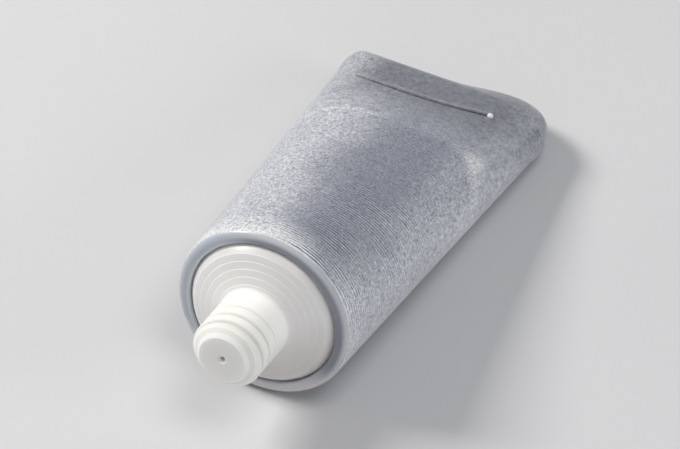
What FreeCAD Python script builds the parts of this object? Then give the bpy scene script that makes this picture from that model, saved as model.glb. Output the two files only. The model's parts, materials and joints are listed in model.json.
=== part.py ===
# Silicone squeeze tube lying on its long side, in millimetres.
# Built along the tube's own axis first, then laid down on its lowest line.
import FreeCAD, Part
import math
import os

V = FreeCAD.Vector

# Sleeve: round rim at the head, flat sealed end
rim_radius = 15.0
rim_rounding = 1.3
wall = 2.2
end_half_width = 19.65
end_half_thickness = 3.4
body_length = 77.0
end_dip = 4.1
centre_length = body_length - end_dip
end_arc_radius = 54.0
end_arc_side = -9.95
corner_radius_right = 9.1
corner_radius_left = 4.8
end_rounding = 4.0
round_fullness = 0.5523
flat_fullness = 0.74
flat_length = 8.9
flat_start = centre_length - flat_length
end_fullness = 0.85
corner_fullness = 1.07
corner_edge_fullness = 1.5
corner_spread = 8.0

# Head seat inside the sleeve's mouth
seat_depth = 4.5
glue_gap = 0.05
seat_radius = rim_radius - wall - glue_gap
mouth_rounding = 0.3
ledge_width = 0.75

# Product space inside the sleeve
solid_end_length = 18.4
space_end = centre_length - solid_end_length
space_corner_radius = 7.5
space_rounding = 7.0
space_fullness = 0.703
space_arc_radius = 400.0
space_flat_length = 12.0

# Seal groove and the bead that ends it, on the upper face of the flat end
groove_left_back = 10.35
groove_left_side = -13.5
groove_right_back = 9.9
groove_right_side = 9.95
groove_bow = 2.0
groove_width = 0.55
groove_depth = 0.9
groove_lip_rounding = 0.25
bead_radius = 0.5
bead_offset = 0.65

# White head: shoulder rings, neck and thread
head_radius = seat_radius - glue_gap
head_wall = 1.4
edge_radius = head_radius - 0.25
edge_recess = 0.5
edge_lead = 0.5
edge_bulge = 0.05
ring_count = 5
first_ring_radius = 11.53
first_ring_height = 0.75
ring_spacing = 1.22
ring_rise = 0.36
ring_lip = 0.08
neck_radius = 6.0
neck_root_rounding = 0.5
neck_tip = 14.0
tip_face_radius = 3.95
tip_step_radius = 5.2
tip_step_width = 0.2
tip_step_rise = 0.65
bore_radius = 3.6
tip_wall = 1.4
outlet_radius = 0.35
outlet_mouth_radius = 0.75
outlet_mouth_depth = 0.35
thread_pitch = 2.3
thread_depth = 0.5
thread_root_width = 0.35
thread_mouth_width = 1.15
thread_full_at = 11.6
thread_ends_at = 4.4
thread_run_in = 1.0
thread_run_out = 0.5
thread_phase = 117.0


def place(u, y, z):
    """A point given by its distance from the rim plane toward the sealed end."""
    return V(-u, y, z)


def lerp(a, b, f):
    return a + (b - a) * f


def corner(width0, slope, centre, arc, side, radius):
    """Tangent points of a corner that joins the straight side to the concave end."""
    lean = math.atan(slope)
    yc = width0
    for _ in range(60):
        uc = centre + arc - math.sqrt((arc + radius) ** 2 - (yc - side) ** 2)
        yc = width0 + slope * uc - radius / math.cos(lean)
    start = (uc - radius * math.sin(lean), yc + radius * math.cos(lean))
    share = arc / (arc + radius)
    finish = (centre + arc + (uc - centre - arc) * share, side + (yc - side) * share)
    lead = math.asin((yc - side) / (arc + radius))
    turn = math.pi / 2 + lead + lean
    handle = radius * 4.0 / 3.0 * math.tan(turn / 4.0)
    first = (start[0] + handle * math.cos(lean), start[1] + handle * math.sin(lean))
    last = (finish[0] + handle * math.sin(lead), finish[1] + handle * math.cos(lead))
    return start, first, last, finish, (math.sin(lead), math.cos(lead))


def patch(rows):
    """One smooth face from four rows of six poles that run side to side."""
    surface = Part.BSplineSurface()
    surface.buildFromPolesMultsKnots(rows, [4, 4], [4, 2, 4], [0, 1], [0, 1, 2], False, False, 3, 3)
    return surface.toShape()


def pillow(begin, width0, slope_w, height0, slope_h, centre, arc, side, radii, rounding, fullness, flat_from):
    """Closed tapering body with a flat rounded far end; it starts at a plane section."""
    full0, full1, full2 = fullness

    def ring(u, f):
        w = width0 + slope_w * u
        h = height0 - slope_h * u
        return [(u, w, 0), (u, w, f * h), (u, f * w, h), (u, -f * w, h), (u, -w, f * h), (u, -w, 0)]

    right = corner(width0, slope_w, centre, arc, side, radii[0])
    left = corner(width0, slope_w, centre, arc, -side, radii[1])
    starts = [right[0][0], right[0][0], centre - rounding, centre - rounding, left[0][0], left[0][0]]
    main = []
    middle = []
    for i in range(4):
        share = i / 3.0
        main.append(ring(lerp(begin, flat_from, share), lerp(full0, full1, share)))
        f = lerp(full1, full2, share)
        middle.append([ring(lerp(flat_from, starts[j], share), f)[j] for j in range(6)])
    from_row = middle[3]
    end_height = height0 - slope_h * centre
    grip = round_fullness * rounding
    inner = [0.0] * 6
    for j, edge, sign in ((1, right, 1), (4, left, -1)):
        reach = (edge[3][1] - sign * side) / 3.0
        inner[j] = (edge[3][0] - reach * edge[4][0], sign * (edge[3][1] - reach * edge[4][1]))
    for j, sign in ((2, 1), (3, -1)):
        inner[j] = (centre, side + sign * (right[3][1] + left[3][1]) / 6.0)
    ahead = []
    above = []
    last = []
    for j in range(6):
        u, y, z = from_row[j]
        edge = right if j < 3 else left
        sign = 1 if j < 3 else -1
        if j in (0, 5):
            ahead.append((edge[1][0], sign * edge[1][1], 0))
            above.append((edge[2][0], sign * edge[2][1], 0))
            last.append((edge[3][0], sign * edge[3][1], 0))
        elif j in (1, 4):
            ahead.append((edge[1][0], sign * edge[1][1], corner_fullness * (height0 - slope_h * edge[1][0])))
            above.append((edge[2][0], sign * edge[2][1], corner_edge_fullness * end_height))
            last.append((inner[j][0], inner[j][1], 0))
        else:
            ahead.append((u + grip, y, z - slope_h * grip))
            above.append((inner[j][0], inner[j][1] + sign * corner_spread, round_fullness * end_height))
            last.append((inner[j][0], inner[j][1], 0))
    finish = [from_row, ahead, above, last]
    faces = []
    for half in (1, -1):
        for rows in (main, middle, finish):
            faces.append(patch([[place(u, y, z * half) for u, y, z in row] for row in rows]))
    mouth_edges = []
    for face in (faces[0], faces[3]):
        for edge in face.Edges:
            box = edge.BoundBox
            if abs(box.XMin + begin) < 1e-4 and abs(box.XMax + begin) < 1e-4:
                mouth_edges.append(edge)
    faces.append(Part.Face(Part.Wire(Part.__sortEdges__(mouth_edges))))
    shell = Part.Shell(faces)
    shell.sewShape()
    solid = Part.Solid(shell)
    if solid.Volume < 0:
        solid.reverse()
    return solid


def sleeve_skin(inset, begin):
    """Outer skin of the sleeve, drawn in by the given amount."""
    slope_w = (end_half_width - rim_radius) / body_length
    slope_h = (rim_radius - end_half_thickness) / body_length
    radii = (corner_radius_right - inset, corner_radius_left - inset)
    fullness = (round_fullness, flat_fullness, end_fullness)
    return pillow(begin, rim_radius - inset, slope_w, rim_radius - inset, slope_h, centre_length - inset,
                  end_arc_radius + inset, end_arc_side, radii, end_rounding - inset, fullness, flat_start)


def product_space():
    """Hollow that holds the product; its far end narrows to a rounded arch."""
    start = seat_radius - ledge_width
    far = space_end
    outer_w = rim_radius + (end_half_width - rim_radius) * far / body_length
    outer_h = rim_radius - (rim_radius - end_half_thickness) * far / body_length
    slope_w = (outer_w - wall - start) / (far - seat_depth)
    slope_h = (start - outer_h + wall) / (far - seat_depth)
    radii = (space_corner_radius, space_corner_radius)
    fullness = (round_fullness, space_fullness, space_fullness)
    return pillow(seat_depth, start - slope_w * seat_depth, slope_w, start + slope_h * seat_depth, slope_h,
                  far, space_arc_radius, 0.0, radii, space_rounding, fullness, far - space_flat_length)


def sleeve():
    body = sleeve_skin(0.0, 0.0)
    rim_edges = [e for e in body.Edges if abs(e.BoundBox.XMin) < 1e-3 and abs(e.BoundBox.XMax) < 1e-3]
    body = body.makeFillet(rim_rounding, rim_edges)
    seat = Part.makeCylinder(seat_radius, seat_depth + 1.0, V(1.0, 0, 0), V(-1, 0, 0))
    body = body.cut(seat)
    mouth_edges = [e for e in body.Edges if abs(e.BoundBox.XMin) < 1e-3 and e.BoundBox.XMax < 1e-3]
    mouth = min(mouth_edges, key=lambda e: e.BoundBox.YLength)
    body = body.makeFillet(mouth_rounding, [mouth])
    body = body.cut(product_space())
    bead_at = bead_place()
    line = Part.makeLine(bead_at, bead_at + V(0, 0, rim_radius))
    surface_z = body.common(line).BoundBox.ZMax
    body = body.cut(seal_groove())
    skin_face = max(body.Faces, key=groove_lip_count)
    body = body.makeFillet(groove_lip_rounding, groove_lip(skin_face))
    bead = Part.makeSphere(bead_radius, V(bead_at.x, bead_at.y, surface_z))
    return body.fuse(bead).removeSplitter()


def groove_points():
    """Left end, middle and right end of the groove in plan; it bows toward the head."""
    left = place(centre_length - groove_left_back, groove_left_side, 0)
    right = place(centre_length - groove_right_back, groove_right_side, 0)
    chord = (right - left).normalize()
    middle = (left + right) * 0.5 + V(chord.y, -chord.x, 0) * groove_bow
    return left, middle, right


def bead_place():
    """Plan place of the bead, in line with the groove's right end."""
    points = groove_points()
    outward = (points[2] - Part.Arc(*points).toShape().Curve.Center).normalize()
    return points[2] + V(-outward.y, outward.x, 0) * bead_offset


def groove_lip(face):
    """Edges round the groove where it meets the skin."""
    lip = []
    left, middle, right = groove_points()
    for edge in face.Edges:
        box = edge.BoundBox
        near = box.XMin > min(left.x, right.x) - 1.0 and box.XMax < middle.x + 1.0
        if near and box.YMin > left.y - 1.0 and box.YMax < right.y + 1.0:
            lip.append(edge)
    return lip


def groove_lip_count(face):
    return len(groove_lip(face)) if face.BoundBox.YLength > end_half_width else 0


def seal_groove():
    """Narrow round-ended slot, cut to an even depth under the upper skin."""
    points = groove_points()
    centre = Part.Arc(*points).toShape().Curve.Center
    outer = []
    inner = []
    for point in points:
        across = (point - centre).normalize() * (groove_width / 2)
        outer.append(point + across)
        inner.append(point - across)
    edges = [Part.Arc(*outer).toShape(), Part.makeLine(outer[2], inner[2]),
             Part.Arc(*inner).toShape(), Part.makeLine(inner[0], outer[0])]
    slot = Part.Face(Part.Wire(Part.__sortEdges__(edges))).extrude(V(0, 0, rim_radius))
    for end in (points[0], points[2]):
        slot = slot.fuse(Part.makeCylinder(groove_width / 2, rim_radius, end))
    return slot.removeSplitter().cut(sleeve_skin(groove_depth, 0.0))


def turned(points):
    """Solid turned about the tube's axis from a closed outline of points."""
    return Part.Face(Part.makePolygon(points + points[:1])).revolve(V(0, 0, 0), V(1, 0, 0), 360)


def shoulder():
    """Skirt and stepped shoulder, solid, up to the root of the neck."""
    foot = V(-seat_depth, head_radius, 0)
    shelf = V(-edge_recess - edge_lead, head_radius, 0)
    brow = V(-edge_recess, edge_radius, 0)
    at = V(first_ring_height, first_ring_radius, 0)
    bulge = (brow + at) * 0.5 + V(1, 1, 0) * edge_bulge
    edges = [Part.makeLine(foot, shelf), Part.makeLine(shelf, brow), Part.Arc(brow, bulge, at).toShape()]
    for k in range(1, ring_count + 1):
        lip = V(at.x + ring_lip, at.y - ring_lip, 0)
        edges.append(Part.makeLine(at, lip))
        at = V(first_ring_height + ring_rise * k, first_ring_radius - ring_spacing * k, 0)
        if k < ring_count:
            edges.append(Part.makeLine(lip, at))
    lean = math.atan2(ring_rise - ring_lip, ring_spacing - ring_lip)
    reach = (lip.y - neck_radius - neck_root_rounding * (1 - math.sin(lean))) / math.cos(lean)
    touch = lip + V(math.sin(lean), -math.cos(lean), 0) * reach
    centre = touch + V(math.cos(lean), math.sin(lean), 0) * neck_root_rounding
    half_turn = (lean + math.pi / 2) / 2
    bend = centre - V(math.cos(half_turn), math.sin(half_turn), 0) * neck_root_rounding
    neck_root = centre.x
    edges.append(Part.makeLine(lip, touch))
    edges.append(Part.Arc(touch, bend, V(neck_root, neck_radius, 0)).toShape())
    outer = V(neck_root, neck_radius, 0)
    middle = V(neck_root, 0, 0)
    back = V(-seat_depth, 0, 0)
    for a, b in ((outer, middle), (middle, back), (back, foot)):
        edges.append(Part.makeLine(a, b))
    return Part.Face(Part.Wire(edges)).revolve(V(0, 0, 0), V(1, 0, 0), 360), neck_root


def neck(root):
    """Threaded neck, solid; it draws in to a small step and a bevelled tip."""
    blank = Part.makeCylinder(neck_radius, neck_tip + 1.5 - root, V(root, 0, 0), V(1, 0, 0))
    threaded = blank.cut(thread_groove())
    bevel = neck_tip - (tip_step_radius - tip_face_radius)
    step = bevel - tip_step_width
    shoulder_end = step - tip_step_rise
    envelope = turned([V(root - 1, 0, 0), V(root - 1, neck_radius + 2, 0), V(shoulder_end, neck_radius + 2, 0),
                       V(shoulder_end, neck_radius, 0), V(step, tip_step_radius, 0), V(bevel, tip_step_radius, 0),
                       V(neck_tip, tip_face_radius, 0), V(neck_tip, 0, 0)])
    return threaded.common(envelope)


def head():
    """Moulded head: skirt, stepped shoulder, neck and closed tip with a small outlet."""
    base, neck_root = shoulder()
    body = base.fuse(neck(neck_root))
    inner_radius = head_radius - head_wall
    inner_edge = first_ring_height - head_wall
    inner_root = inner_edge + ring_rise * ring_count
    bore_end = neck_tip - tip_wall
    hollow = turned([V(-seat_depth - 1, 0, 0), V(-seat_depth - 1, inner_radius, 0), V(inner_edge, inner_radius, 0),
                     V(inner_root, bore_radius, 0), V(bore_end, bore_radius, 0), V(bore_end, outlet_radius, 0),
                     V(neck_tip - outlet_mouth_depth, outlet_radius, 0), V(neck_tip, outlet_mouth_radius, 0),
                     V(neck_tip + 1, outlet_mouth_radius, 0), V(neck_tip + 1, 0, 0)])
    return body.cut(hollow).removeSplitter()


def thread_groove():
    """Right-hand helical groove, drawn from past the tip; its path widens, so it fades out toward the root."""
    begin = neck_tip + thread_run_in
    fade = thread_depth / (thread_full_at - thread_ends_at)
    path_radius = neck_radius - fade * (begin - thread_full_at)
    length = begin - thread_ends_at + thread_run_out
    helix = Part.makeHelix(thread_pitch, length, path_radius, math.degrees(math.atan(fade)))
    clear = 0.8
    spread = (thread_mouth_width - thread_root_width) / 2 / thread_depth
    half_root = thread_root_width / 2
    half_mouth = half_root + spread * (thread_depth + clear)
    bottom = path_radius - thread_depth
    top = path_radius + clear
    profile = Part.makePolygon([V(bottom, 0, -half_root), V(top, 0, -half_mouth), V(top, 0, half_mouth),
                                V(bottom, 0, half_root), V(bottom, 0, -half_root)])
    tool = Part.Wire(helix.Edges).makePipeShell([profile], True, True)
    tool.rotate(V(0, 0, 0), V(0, 1, 0), -90)
    tool.rotate(V(0, 0, 0), V(1, 0, 0), thread_phase)
    tool.translate(V(begin, 0, 0))
    return tool


tube_body = sleeve()
tube_head = head()

# Lay the tube down: the line from its rim to the lowest point of the flat end comes level
far_points = [p for p in tube_body.tessellate(0.02)[0] if p.x < -body_length / 2]
lie_angle = math.degrees(min(math.atan2(p.z + rim_radius, -p.x - rim_rounding) for p in far_points))
parts = {"tube_body": tube_body, "tube_head": tube_head}
for shape in parts.values():
    shape.rotate(V(0, 0, 0), V(0, 1, 0), -lie_angle)
laid = [p for shape in parts.values() for p in shape.tessellate(0.01)[0]]
middle_x = (min(p.x for p in laid) + max(p.x for p in laid)) / 2
lowest_z = min(p.z for p in laid)
os.makedirs("parts", exist_ok=True)
for name, shape in parts.items():
    shape.translate(V(-middle_x, 0, -lowest_z))
    shape.exportStep("parts/%s.step" % name)
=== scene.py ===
"""Looks of a silicone squeeze tube that lies on a pale floor, seen from above its neck."""
import bpy
import json
import math
from typing import NamedTuple
from mathutils import Matrix, Vector

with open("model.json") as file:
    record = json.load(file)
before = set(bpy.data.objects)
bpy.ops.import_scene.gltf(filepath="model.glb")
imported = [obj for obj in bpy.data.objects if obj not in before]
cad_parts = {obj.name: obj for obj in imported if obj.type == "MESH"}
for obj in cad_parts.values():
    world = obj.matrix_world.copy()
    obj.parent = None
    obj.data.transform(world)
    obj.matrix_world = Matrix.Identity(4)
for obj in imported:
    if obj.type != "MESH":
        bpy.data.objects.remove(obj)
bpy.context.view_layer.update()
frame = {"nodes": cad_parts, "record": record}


class Ramp(NamedTuple):
    """Smooth change from one value to another between two places, level outside them."""
    start: float
    end: float
    low: float = 0.0
    high: float = 1.0


class Peak(NamedTuple):
    """One at the centre, falling smoothly to nothing at the reach on both sides."""
    centre: float
    reach: float


class Cloud(NamedTuple):
    """Noise, by its cells per metre along the tube, across it and up."""
    cells: tuple
    detail: float = 2.0
    roughness: float = 0.5


def rgb(red, green, blue):
    return (red, green, blue, 1.0)


# Parts of a vector that count toward its length: all, those off the tube's axis, those in plan
WHOLE = (1.0, 1.0, 1.0)
OFF_AXIS = (0.0, 1.0, 1.0)
IN_PLAN = (1.0, 1.0, 0.0)

# Tube's own axis, read from the mount on the neck's tip
NECK_LENGTH = 0.0140
tip = next(mount for mount in frame["record"]["mounts"] if mount["name"] == "tip_face")
axis = Vector(tip["axis"]).normalized()
rim_centre = Vector((tip["pos_m"][0], 0.0, tip["pos_m"][2])) - axis * NECK_LENGTH
lie_angle = math.atan2(axis.z, axis.x)

# As in the solids, in metres: widths, lengths, shoulder rings, bead and seal groove
RIM_RADIUS = 0.0150
MOUTH_RADIUS = 0.0128
END_HALF_WIDTH = 0.01965
BODY_LENGTH = 0.0770
SKIRT_LENGTH = 0.0045
FIRST_RING_RADIUS = 0.01153
RING_SPACING = 0.00122
BEAD = Vector((-0.06322, 0.01056, 0.0))
GROOVE_LEFT = Vector((-0.06255, -0.0135))
GROOVE_RIGHT = Vector((-0.06300, 0.00995))
GROOVE_BOW = 0.0020

# Arch where the hollow ends, as it shows through the skin
ARCH_END = 0.0503
ARCH_HALF_WIDTH = 0.0174
ARCH_CORNER = 0.0100


class Nodes:
    """Short way to build one material's node tree."""

    def __init__(self, name):
        self.material = bpy.data.materials.new(name)
        self.material.use_nodes = True
        self.tree = self.material.node_tree
        self.tree.nodes.clear()

    def add(self, kind, settings=None, **inputs):
        """A node with plain settings; an input is named, or is i and its number."""
        node = self.tree.nodes.new(kind)
        for key, value in (settings or {}).items():
            setattr(node, key, value)
        for key, value in inputs.items():
            numbered = key[1:].isdigit()
            socket = node.inputs[int(key[1:]) if numbered else key.replace("_", " ")]
            if isinstance(value, bpy.types.NodeSocket):
                self.tree.links.new(value, socket)
            else:
                socket.default_value = value
        return node

    def math(self, operation, a, b=0.0):
        return self.add("ShaderNodeMath", {"operation": operation}, i0=a, i1=b).outputs[0]

    def plus(self, a, b):
        return self.math("ADD", a, b)

    def minus(self, a, b):
        return self.math("SUBTRACT", a, b)

    def times(self, first, *others):
        for other in others:
            first = self.math("MULTIPLY", first, other)
        return first

    def over(self, a, b):
        return self.math("DIVIDE", a, b)

    def largest(self, a, b):
        return self.math("MAXIMUM", a, b)

    def vector(self, operation, a, b):
        return self.add("ShaderNodeVectorMath", {"operation": operation}, i0=a, i1=b).outputs[0]

    def length(self, vector, keep):
        """Length of a vector after each of its parts is multiplied by keep."""
        kept = self.vector("MULTIPLY", vector, keep)
        node = self.add("ShaderNodeVectorMath", {"operation": "LENGTH"}, i0=kept)
        return node.outputs["Value"]

    def noise(self, vector, cloud):
        stretched = self.vector("MULTIPLY", vector, cloud.cells)
        return self.add("ShaderNodeTexNoise", None, Vector=stretched, Scale=1.0,
                        Detail=cloud.detail, Roughness=cloud.roughness).outputs[0]

    def ramp(self, value, ramp):
        settings = {"interpolation_type": "SMOOTHSTEP", "clamp": True}
        return self.add("ShaderNodeMapRange", settings, Value=value,
                        From_Min=ramp.start, From_Max=ramp.end,
                        To_Min=ramp.low, To_Max=ramp.high).outputs[0]

    def peak(self, value, peak):
        off = self.math("ABSOLUTE", self.minus(value, peak.centre))
        return self.ramp(off, Ramp(peak.reach, 0.0))

    def mix(self, share, under, paint):
        """The paint laid over what is under it, by its share."""
        node = self.add("ShaderNodeMix", {"data_type": "RGBA"}, i0=share, i6=under, i7=paint)
        return node.outputs[2]

    def bump(self, height, strength, distance):
        return self.add("ShaderNodeBump", None, Strength=strength, Distance=distance,
                        Height=height).outputs[0]

    def finish(self, **inputs):
        """Closes the tree with one Principled shader, and gives the material."""
        shader = self.add("ShaderNodeBsdfPrincipled", None, **inputs)
        output = self.add("ShaderNodeOutputMaterial")
        self.tree.links.new(shader.outputs[0], output.inputs[0])
        return self.material


class TubePaint(Nodes):
    """Material painted by the place on the tube, in metres from the rim's centre."""

    def __init__(self, name):
        super().__init__(name)
        scene_place = self.add("ShaderNodeTexCoord").outputs["Object"]
        turn = Matrix.Rotation(lie_angle, 3, "Y")
        self.at = self.add("ShaderNodeMapping", {"vector_type": "POINT"}, Vector=scene_place,
                           Location=-(turn @ rim_centre), Rotation=(0.0, lie_angle, 0.0)).outputs[0]
        parts = self.add("ShaderNodeSeparateXYZ", None, Vector=self.at)
        self.along, self.across, self.up = parts.outputs
        self.radius = self.length(self.at, OFF_AXIS)


# Where the skin lies over the hollow, by metres past the arch
ON_HOLLOW = Ramp(0.0015, -0.003)

# Sleeve's noises
STREAKS = Cloud((2400.0, 700.0, 700.0), 3.0)
GRAIN = Cloud((2300.0, 2300.0, 2300.0), 3.0, 0.6)
PATCHES = Cloud((130.0, 110.0, 110.0), 3.0)
BREAKS = Cloud((420.0, 170.0, 170.0))
MOTTLE = Cloud((900.0, 750.0, 750.0))
NOISE_MEAN = 0.5
PAINTED_LIGHT_UNEVENNESS = 0.35


class SleevePaint(TubePaint):
    """Sleeve's places and noises. Side runs from -1 at the left edge to 1 at the right one."""

    def __init__(self, name):
        super().__init__(name)
        self.back = self.times(self.along, -1.0)
        taper = (END_HALF_WIDTH - RIM_RADIUS) / BODY_LENGTH
        self.side = self.over(self.across, self.plus(self.times(self.back, taper), RIM_RADIUS))
        self.past_arch = self.distance_past_arch()
        self.on_hollow = self.ramp(self.past_arch, ON_HOLLOW)
        self.streaks = self.noise(self.at, STREAKS)
        self.grain = self.noise(self.at, GRAIN)
        self.patches = self.noise(self.at, PATCHES)
        self.breaks = self.noise(self.at, BREAKS)
        self.uneven = self.times(self.minus(self.patches, NOISE_MEAN), PAINTED_LIGHT_UNEVENNESS)

    def distance_past_arch(self):
        """Distance past the arch in plan, below nothing over the hollow."""
        along = self.largest(self.minus(self.back, ARCH_END - ARCH_CORNER), 0.0)
        aside = self.minus(self.math("ABSOLUTE", self.across), ARCH_HALF_WIDTH - ARCH_CORNER)
        corner = self.add("ShaderNodeCombineXYZ", None, X=along, Y=self.largest(aside, 0.0))
        return self.minus(self.length(corner.outputs[0], WHOLE), ARCH_CORNER)

    def distance_off_groove(self):
        """Distance in plan from the groove's middle line, above nothing on the head's side."""
        chord = GROOVE_RIGHT - GROOVE_LEFT
        arc_radius = (chord.length_squared / 4.0 + GROOVE_BOW ** 2) / (2.0 * GROOVE_BOW)
        toward_head = Vector((chord.y, -chord.x)).normalized()
        centre = (GROOVE_LEFT + GROOVE_RIGHT) / 2.0 + toward_head * (GROOVE_BOW - arc_radius)
        from_centre = self.vector("SUBTRACT", self.at, centre.to_3d())
        return self.minus(self.length(from_centre, IN_PLAN), arc_radius)


# Painted light over the hollow: paler on the left, where the key light falls, and in a narrower
# band along the right edge, which catches light from the right; the middle keeps the darker skin
HOLLOW_CLEAR = rgb(0.246, 0.263, 0.318)
HOLLOW_PAINTED_LIGHT = rgb(0.64, 0.645, 0.695)
PAINTED_LIGHT_SPREADS_AT_MOUTH = Ramp(0.032, 0.014, 0.0, 0.17)
PAINTED_LIGHT_FROM_MIDDLE = Ramp(-0.12, 0.62)
PAINTED_LIGHT_FADES_AT_EDGE = Ramp(-0.7, -0.95, 0.9, 0.68)
PAINTED_LIGHT_ON_RIGHT = Ramp(0.42, 1.1, 0.0, 0.82)


# Painted light on the skin's left side
def left_painted_light(n):
    left = n.plus(n.minus(n.uneven, n.side), n.ramp(n.back, PAINTED_LIGHT_SPREADS_AT_MOUTH))
    return n.times(n.ramp(left, PAINTED_LIGHT_FROM_MIDDLE), n.ramp(n.side, PAINTED_LIGHT_FADES_AT_EDGE))


# Painted light along the skin's right edge
def right_painted_light(n):
    return n.ramp(n.plus(n.uneven, n.side), PAINTED_LIGHT_ON_RIGHT)


# Solid pad past the arch: darker toward the end, with painted light making it paler at its sides
# and beside the arch
PAD_NEAR_ARCH = rgb(0.308, 0.325, 0.378)
PAD_AT_END = rgb(0.202, 0.211, 0.243)
PAD_PAINTED_LIGHT = rgb(0.66, 0.675, 0.72)
PAD_DARKENS = Ramp(0.051, 0.062)
PAD_LEFT_EDGE = Ramp(-0.48, -0.88, 0.0, 0.62)
PAD_RIGHT_EDGE = Ramp(0.55, 1.0)
PAD_RIGHT_EDGE_FADES = Ramp(0.066, 0.055, 0.28, 0.5)
LEFT_BY_ARCH = Ramp(0.1, -0.8, 0.0, 0.7)
RIGHT_BY_ARCH = Ramp(0.5, 1.0, 0.0, 0.5)
BY_ARCH_FADES = Ramp(0.064, 0.050)


def pad(n):
    # Painted light at the pad's sides and beside the arch
    colour = n.mix(n.ramp(n.back, PAD_DARKENS), PAD_NEAR_ARCH, PAD_AT_END)
    right_edge = n.times(n.ramp(n.side, PAD_RIGHT_EDGE), n.ramp(n.back, PAD_RIGHT_EDGE_FADES))
    edge = n.largest(n.ramp(n.side, PAD_LEFT_EDGE), right_edge)
    by_arch = n.largest(n.ramp(n.side, LEFT_BY_ARCH), n.ramp(n.side, RIGHT_BY_ARCH))
    by_arch = n.times(n.ramp(n.back, BY_ARCH_FADES), by_arch)
    return n.mix(n.largest(edge, by_arch), colour, PAD_PAINTED_LIGHT)


# Light that the hollow's end catches: a thin line along the arch, a shine at its right corner
ARCH_LINE = Peak(0.0, 0.0012)
ARCH_LINE_PAINT = rgb(0.80, 0.81, 0.83)
ARCH_LINE_LEFT = Ramp(-0.001, -0.009, 0.05, 0.5)
ARCH_LINE_RIGHT = Ramp(0.009, 0.013, 0.05, 0.3)
SHINE_PAST_ARCH = Peak(0.0006, 0.0034)
SHINE_ACROSS = Peak(0.0148, 0.0034)
SHINE_ALONG = Ramp(0.043, 0.047, 0.0, 0.5)
SHINE_PAINT = rgb(0.90, 0.89, 0.88)


def arch_light(n, colour):
    line = n.largest(n.ramp(n.across, ARCH_LINE_LEFT), n.ramp(n.across, ARCH_LINE_RIGHT))
    colour = n.mix(n.times(n.peak(n.past_arch, ARCH_LINE), line), colour, ARCH_LINE_PAINT)
    shine = n.times(n.peak(n.past_arch, SHINE_PAST_ARCH), n.peak(n.across, SHINE_ACROSS),
                    n.ramp(n.back, SHINE_ALONG))
    return n.mix(shine, colour, SHINE_PAINT)


# White skirt of the head, which shows through the skin at the mouth
SKIRT_BLUR = 0.0035
SKIRT_SHOWS = Ramp(SKIRT_LENGTH + SKIRT_BLUR, 0.001, 0.0, 0.8)
SKIRT_WEAKER_ON_RIGHT = Ramp(0.6, 0.0, 0.25, 1.0)
SKIRT_PAINT = rgb(0.88, 0.89, 0.91)


def skirt_behind(n, colour):
    skirt = n.times(n.ramp(n.back, SKIRT_SHOWS), n.ramp(n.side, SKIRT_WEAKER_ON_RIGHT))
    return n.mix(skirt, colour, SKIRT_PAINT)


# Fine rings round the sleeve, broken here and there, with grain and mottle
RING_PITCH = 0.00062
RING_WAVER = 3.0
RING_HEIGHT = 0.85
RINGS_ACROSS = Peak(0.45, 0.75)
RINGS_ALONG = Ramp(0.045, 0.015, 0.35, 1.0)
RINGS_BROKEN = Ramp(0.34, 0.62, 0.15, 1.1)
RINGS_AT_RIM = Ramp(0.012, 0.002, 1.0, 1.5)
GRAIN_BY_LEFT_LIGHT = Ramp(0.0, 0.5, 2.6, 3.2)
STREAK_SHARE = 0.7
GRAIN_FADES_ON_PAD = Ramp(-0.002, 0.002, 1.0, 0.65)
MOTTLE_GROWS_ON_PAD = Ramp(-0.004, 0.002, 0.4, 1.0)
GRAIN_UNDER_RINGS = Ramp(0.0, 1.0, 1.1, 0.85)


def relief(n, left_light):
    """Height of the rings and the grain, about nothing on average."""
    phase = n.times(n.back, 2.0 * math.pi / RING_PITCH)
    waver = n.times(n.minus(n.streaks, n.patches), RING_WAVER)
    ringed = n.times(n.peak(n.side, RINGS_ACROSS), n.ramp(n.back, RINGS_ALONG))
    strength = n.times(n.ramp(n.breaks, RINGS_BROKEN), n.ramp(n.back, RINGS_AT_RIM))
    rings = n.times(n.math("SINE", n.plus(phase, waver)), strength, ringed, n.on_hollow)

    # Grain grows stronger where the left of the skin is painted lit
    grain = n.times(n.minus(n.grain, NOISE_MEAN), n.ramp(left_light, GRAIN_BY_LEFT_LIGHT))
    grain = n.plus(grain, n.times(n.minus(n.streaks, NOISE_MEAN), STREAK_SHARE))
    mottle = n.minus(n.noise(n.at, MOTTLE), NOISE_MEAN)
    mottle = n.times(mottle, n.ramp(n.past_arch, MOTTLE_GROWS_ON_PAD))
    grain = n.plus(n.times(grain, n.ramp(n.past_arch, GRAIN_FADES_ON_PAD)), mottle)
    grain = n.times(grain, n.ramp(ringed, GRAIN_UNDER_RINGS))
    return n.plus(n.times(rings, RING_HEIGHT), grain)


# How far the relief lightens and darkens the skin
GAIN_BY_RELIEF = 0.8
LEAST_GAIN = 0.3
PALEST = (0.95, 0.95, 0.95)


def grained(n, colour, lines):
    gain = n.largest(n.plus(n.times(lines, GAIN_BY_RELIEF), 1.0), LEAST_GAIN)
    scaled = n.add("ShaderNodeVectorMath", {"operation": "SCALE"}, i0=colour, Scale=gain).outputs[0]
    return n.vector("MINIMUM", scaled, PALEST)


# Seal groove: painted shade as a dark line along it, and a painted highlight on its lip away from
# the head, fading toward its left end
GROOVE_LEFT_END = Ramp(-0.0138, -0.0095, 0.1, 1.0)
GROOVE_RIGHT_END = Ramp(0.0105, 0.0100)
GROOVE_BROKEN = Ramp(0.35, 0.55, 0.45, 1.0)
UPPER_FACE = Ramp(0.0, 0.002)
GROOVE_LIP = Peak(-0.0009, 0.0006)
GROOVE_LIP_SHARE = 0.19
GROOVE_LIP_HIGHLIGHT_PAINT = rgb(0.72, 0.73, 0.76)
GROOVE_SHADE = Peak(0.0, 0.0010)
GROOVE_SHADE_SHARE = Ramp(0.002, 0.009, 0.22, 0.5)
GROOVE_SHADE_PAINT = rgb(0.08, 0.087, 0.105)


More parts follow.
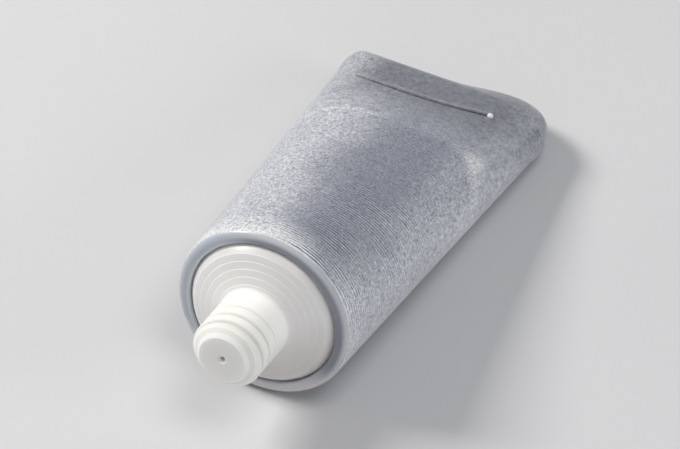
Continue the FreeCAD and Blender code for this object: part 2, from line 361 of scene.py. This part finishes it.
def groove_marks(n, colour):
    off = n.distance_off_groove()
    here = n.times(n.ramp(n.across, GROOVE_LEFT_END), n.ramp(n.across, GROOVE_RIGHT_END),
                   n.ramp(n.up, UPPER_FACE), n.ramp(n.breaks, GROOVE_BROKEN))
    lip = n.times(n.peak(off, GROOVE_LIP), here, GROOVE_LIP_SHARE)
    colour = n.mix(lip, colour, GROOVE_LIP_HIGHLIGHT_PAINT)
    dark = n.times(n.peak(off, GROOVE_SHADE), here, n.ramp(n.across, GROOVE_SHADE_SHARE))
    return n.mix(dark, colour, GROOVE_SHADE_PAINT)


# Flat face round the mouth: an inner and an outer band, toned by left, right and low with painted
# light and shade; the inner band is painted shaded on the right beside the disc, and both bands are
# painted lit low down, by light from below
BANDS_MEET = Ramp(MOUTH_RADIUS + 0.0006, MOUTH_RADIUS + 0.0014)
BANDS_LEAN = -0.0004
TURNS_RIGHT = Ramp(-0.65, -0.05)
TURNS_LOW = Ramp(-0.005, -0.011)
INNER_LEFT = rgb(0.53, 0.57, 0.635)
INNER_RIGHT = rgb(0.285, 0.30, 0.355)
INNER_LOW_LIT = rgb(0.72, 0.72, 0.76)
OUTER_LEFT = rgb(0.50, 0.54, 0.595)
OUTER_RIGHT = rgb(0.58, 0.60, 0.63)
OUTER_LOW_LIT = rgb(0.86, 0.77, 0.745)
# Painted light along the mouth's inner edge, fading on the right: it lifts the shade in the gap
# beside the disc
INNER_EDGE_LIGHT = Ramp(MOUTH_RADIUS + 0.0005, MOUTH_RADIUS + 0.0002)
INNER_EDGE_LIGHT_FADES_ON_RIGHT = Ramp(1.0, 0.0, 0.0, 0.4)
INNER_EDGE_LIGHT_PAINT = rgb(0.86, 0.88, 0.91)
# Painted highlight on the rim's rounded outer edge, pinker low down, where light comes from below
RIM_EDGE_STARTS = Ramp(0.0002, 0.0009)
RIM_EDGE_HIGHLIGHT = rgb(0.62, 0.63, 0.66)
RIM_EDGE_LOW_HIGHLIGHT = rgb(0.74, 0.65, 0.635)


def mouth_face(n):
    right = n.ramp(n.side, TURNS_RIGHT)
    low = n.ramp(n.up, TURNS_LOW)
    inner = n.mix(low, n.mix(right, INNER_LEFT, INNER_RIGHT), INNER_LOW_LIT)
    outer = n.mix(low, n.mix(right, OUTER_LEFT, OUTER_RIGHT), OUTER_LOW_LIT)
    band = n.plus(n.radius, n.times(n.side, BANDS_LEAN))
    colour = n.mix(n.ramp(band, BANDS_MEET), inner, outer)
    inner_edge_light = n.times(n.ramp(n.radius, INNER_EDGE_LIGHT), n.ramp(right, INNER_EDGE_LIGHT_FADES_ON_RIGHT))
    colour = n.mix(inner_edge_light, colour, INNER_EDGE_LIGHT_PAINT)
    return n.mix(n.ramp(n.back, RIM_EDGE_STARTS), colour, n.mix(low, RIM_EDGE_HIGHLIGHT, RIM_EDGE_LOW_HIGHLIGHT))


# Bead at the groove's right end, painted near white as a painted highlight of its glint
BEAD_EDGE = Ramp(0.0007, 0.0004)
BEAD_UPPER_FACE = Ramp(0.0, 0.001)
BEAD_HIGHLIGHT_PAINT = rgb(0.90, 0.91, 0.93)


def bead(n, colour):
    to_bead = n.length(n.vector("SUBTRACT", n.at, BEAD), IN_PLAN)
    here = n.times(n.ramp(to_bead, BEAD_EDGE), n.ramp(n.up, BEAD_UPPER_FACE))
    return n.mix(here, colour, BEAD_HIGHLIGHT_PAINT)


# Skin behind the mouth's face, which carries the relief
SKIN_STARTS = Ramp(0.0002, 0.0013)
SKIN_ROUGHNESS = Ramp(0.0, 1.0, 0.22, 0.45)


def frosted_silicone():
    """Frosted grey-blue silicone with fine rings: darker over the hollow, with painted light along
    its sides and on the bead, and painted light and shade on the mouth's face and the seal groove.
    """
    n = SleevePaint("frosted_silicone")
    left_light = left_painted_light(n)
    colour = n.mix(n.largest(left_light, right_painted_light(n)), HOLLOW_CLEAR, HOLLOW_PAINTED_LIGHT)
    colour = n.mix(n.on_hollow, pad(n), colour)
    colour = skirt_behind(n, arch_light(n, colour))
    lines = relief(n, left_light)
    colour = groove_marks(n, grained(n, colour, lines))
    skin = n.ramp(n.back, SKIN_STARTS)
    colour = bead(n, n.mix(skin, mouth_face(n), colour))
    bump = n.bump(n.times(lines, skin), strength=0.3, distance=0.00012)
    return n.finish(Base_Color=colour, Roughness=n.ramp(skin, SKIN_ROUGHNESS), Normal=bump,
                    IOR=1.41, Transmission_Weight=0.12, Subsurface_Weight=0.25,
                    Subsurface_Radius=(0.9, 1.0, 1.1), Subsurface_Scale=0.0015,
                    Sheen_Weight=0.4, Sheen_Roughness=0.4)


# Head: white disc, with painted shade at its edge and toward its lower right
TURNED_MARKS = Cloud((1800.0, 160.0, 160.0))
DISC_CLOUD = Cloud((90.0, 90.0, 90.0))
DISC_CLOUD_SPREAD = Ramp(0.3, 0.7)
DISC_DARKER = rgb(0.84, 0.815, 0.80)
DISC_PALER = rgb(0.88, 0.86, 0.845)
DISC_EDGE = Ramp(0.01142, 0.01156, 0.0, 0.4)
DISC_EDGE_SHADE_PAINT = rgb(0.62, 0.60, 0.59)
SHADE_LEAN = 0.6
SHADE_SPREAD = Ramp(0.001, 0.012, 0.0, 0.5)
SHADE_OFF_NECK = Ramp(0.0062, 0.0070)
SHADE_PAINT = rgb(0.60, 0.565, 0.545)

# Head: painted highlights on the lips of the shoulder rings, in steps of a ring from the first;
# they end on the right, away from the key light.
# The half step keeps a lip clear of the jump where the steps' fraction starts again.
HALF_STEP = 0.5
LIP_PLACE = Peak(HALF_STEP + 0.033, 0.1)
LIP_HIGHLIGHT_FADES_ON_RIGHT = Ramp(0.004, -0.003, 0.0, 0.85)
LIP_HIGHLIGHT_PAINT = rgb(0.98, 0.975, 0.97)
DISC_STARTS = Ramp(0.0004, 0.0006)
DISC_ENDS = Ramp(0.0064, 0.0066)

# Head: neck, its thread, the bevel and the tip's face, with painted light and shade: the neck
# painted paler than the disc as light from above, over the head's warm tint; painted shade on the
# bevel and deep in the thread; painted light on the tip's face
NECK_STARTS = Ramp(0.0025, 0.0035)
NECK_WITHIN = Ramp(0.0068, 0.0062)
NECK_TINT_AND_LIGHT_PAINT = rgb(0.94, 0.92, 0.87)
BEVEL_STARTS = Ramp(0.0126, 0.0128)
BEVEL_OUTSIDE = Ramp(0.0038, 0.0041)
BEVEL_SHARE = 0.5
BEVEL_SHADE_PAINT = rgb(0.70, 0.685, 0.645)
TIP_STARTS = Ramp(0.0132, 0.0136)
TIP_LIGHT_PAINT = rgb(0.985, 0.965, 0.90)
THREAD_ENDS = Ramp(0.0121, 0.0119)
THREAD_DEEP = Ramp(0.00595, 0.0057, 0.0, 0.4)
THREAD_SHADE_PAINT = rgb(0.45, 0.44, 0.42)
HEAD_ROUGHNESS = Ramp(0.2, 0.8, 0.3, 0.42)


def disc_shade(n, colour):
    colour = n.mix(n.ramp(n.radius, DISC_EDGE), colour, DISC_EDGE_SHADE_PAINT)
    lower_right = n.minus(n.times(n.across, SHADE_LEAN), n.up)
    shade = n.times(n.ramp(lower_right, SHADE_SPREAD), n.ramp(n.radius, SHADE_OFF_NECK))
    return n.mix(shade, colour, SHADE_PAINT)


def ring_lip_highlights(n, colour):
    step = n.over(n.minus(FIRST_RING_RADIUS, n.radius), RING_SPACING)
    on_disc = n.times(n.ramp(n.along, DISC_STARTS), n.ramp(n.radius, DISC_ENDS))
    lip = n.times(n.peak(n.math("FRACT", n.plus(step, HALF_STEP)), LIP_PLACE), on_disc,
                  n.ramp(n.across, LIP_HIGHLIGHT_FADES_ON_RIGHT))
    return n.mix(lip, colour, LIP_HIGHLIGHT_PAINT)


def tip_and_thread(n, colour, on_neck):
    # Painted shade on the bevel, painted light on the tip's face, painted shade deep in the thread
    bevel = n.times(n.ramp(n.along, BEVEL_STARTS), n.ramp(n.radius, BEVEL_OUTSIDE), BEVEL_SHARE)
    colour = n.mix(bevel, colour, BEVEL_SHADE_PAINT)
    colour = n.mix(n.ramp(n.along, TIP_STARTS), colour, TIP_LIGHT_PAINT)
    thread = n.times(on_neck, n.ramp(n.along, THREAD_ENDS), n.ramp(n.radius, THREAD_DEEP))
    return n.mix(thread, colour, THREAD_SHADE_PAINT)


def white_plastic():
    """Soft white moulded plastic with faint turned marks, and painted light and shade on its disc,
    ring lips, neck, bevel and tip.
    """
    n = TubePaint("white_plastic")
    colour = n.mix(n.ramp(n.noise(n.at, DISC_CLOUD), DISC_CLOUD_SPREAD), DISC_DARKER, DISC_PALER)
    on_neck = n.times(n.ramp(n.along, NECK_STARTS), n.ramp(n.radius, NECK_WITHIN))
    # Neck painted paler as light from above, over its warm tint
    colour = n.mix(on_neck, colour, NECK_TINT_AND_LIGHT_PAINT)
    colour = ring_lip_highlights(n, disc_shade(n, colour))
    colour = tip_and_thread(n, colour, on_neck)
    marks = n.noise(n.at, TURNED_MARKS)
    return n.finish(Base_Color=colour, Roughness=n.ramp(marks, HEAD_ROUGHNESS),
                    Normal=n.bump(marks, strength=0.12, distance=0.0001), IOR=1.46,
                    Subsurface_Weight=0.5, Subsurface_Radius=(1.0, 0.98, 0.92),
                    Subsurface_Scale=0.003)


# Floor: pale and matt, just under the part so that the two don't meet
FLOOR_HALF_SIZE = 3.0
FLOOR_DROP = 0.0001
FLOOR_CLOUD = Cloud((7.0, 7.0, 7.0))
FLOOR_CLOUD_SPREAD = Ramp(0.2, 0.8)
FLOOR_DARKER = rgb(0.62, 0.62, 0.63)
FLOOR_PALER = rgb(0.66, 0.66, 0.67)


def floor_paint():
    n = Nodes("floor_paint")
    cloud = n.noise(n.add("ShaderNodeTexCoord").outputs["Object"], FLOOR_CLOUD)
    colour = n.mix(n.ramp(cloud, FLOOR_CLOUD_SPREAD), FLOOR_DARKER, FLOOR_PALER)
    return n.finish(Base_Color=colour, Roughness=0.8)


def floor():
    half = FLOOR_HALF_SIZE
    corners = [(-half, -half, 0.0), (half, -half, 0.0), (half, half, 0.0), (-half, half, 0.0)]
    mesh = bpy.data.meshes.new("floor")
    mesh.from_pydata(corners, [], [(0, 1, 2, 3)])
    plane = bpy.data.objects.new("floor", mesh)
    plane.location.z = -FLOOR_DROP
    mesh.materials.append(floor_paint())
    bpy.context.scene.collection.objects.link(plane)


def repaint(node, material):
    slots = frame["nodes"][node].data.materials
    for index in range(len(slots)):
        slots[index] = material


# Lamps all face the tube's middle; the world gives the rest
LAMP_TARGET = Vector((0.0, 0.0, 0.015))
SKY_COLOUR = rgb(0.92, 0.95, 1.0)
SKY_STRENGTH = 0.24


def lamp(name, at, size, watts, colour):
    """Square soft lamp."""
    data = bpy.data.lights.new(name, "AREA")
    data.size = size
    data.energy = watts
    data.color = colour
    holder = bpy.data.objects.new(name, data)
    holder.location = at
    holder.rotation_euler = (LAMP_TARGET - Vector(at)).to_track_quat("-Z", "Y").to_euler()
    bpy.context.scene.collection.objects.link(holder)


def daylight():
    world = bpy.data.worlds.new("world")
    world.use_nodes = True
    background = world.node_tree.nodes["Background"]
    background.inputs["Color"].default_value = SKY_COLOUR
    background.inputs["Strength"].default_value = SKY_STRENGTH
    bpy.context.scene.world = world


# Camera, at the photograph's viewing angle
CAMERA_AT = Vector((0.532688, 0.245535, 0.567768))
CAMERA_X = Vector((-0.439777, 0.897809, 0.023123))
CAMERA_Y = Vector((-0.612413, -0.318615, 0.723488))
LENS_MM = 264.7
SENSOR_MM = 36.0
CLIP_START = 0.01


def camera():
    data = bpy.data.cameras.new("camera")
    data.sensor_width = SENSOR_MM
    data.lens = LENS_MM
    data.clip_start = CLIP_START
    holder = bpy.data.objects.new("camera", data)
    turn = Matrix((CAMERA_X, CAMERA_Y, CAMERA_X.cross(CAMERA_Y))).transposed()
    holder.matrix_world = Matrix.Translation(CAMERA_AT) @ turn.to_4x4()
    bpy.context.scene.collection.objects.link(holder)
    bpy.context.scene.camera = holder


repaint("tube_body", frosted_silicone())
repaint("tube_head", white_plastic())
floor()
camera()
daylight()
lamp("key", at=(0.05, -0.52, 0.48), size=0.22, watts=3.9, colour=(1.0, 0.985, 0.96))
lamp("front", at=(0.50, 0.12, 0.25), size=0.30, watts=0.12, colour=(1.0, 0.99, 0.97))
lamp("side", at=(-0.05, 0.60, 0.22), size=0.25, watts=1.0, colour=(0.95, 0.97, 1.0))
lamp("top", at=(0.08, 0.22, 0.62), size=0.30, watts=1.2, colour=(1.0, 0.99, 0.97))

bpy.context.scene.view_settings.view_transform = "Standard"
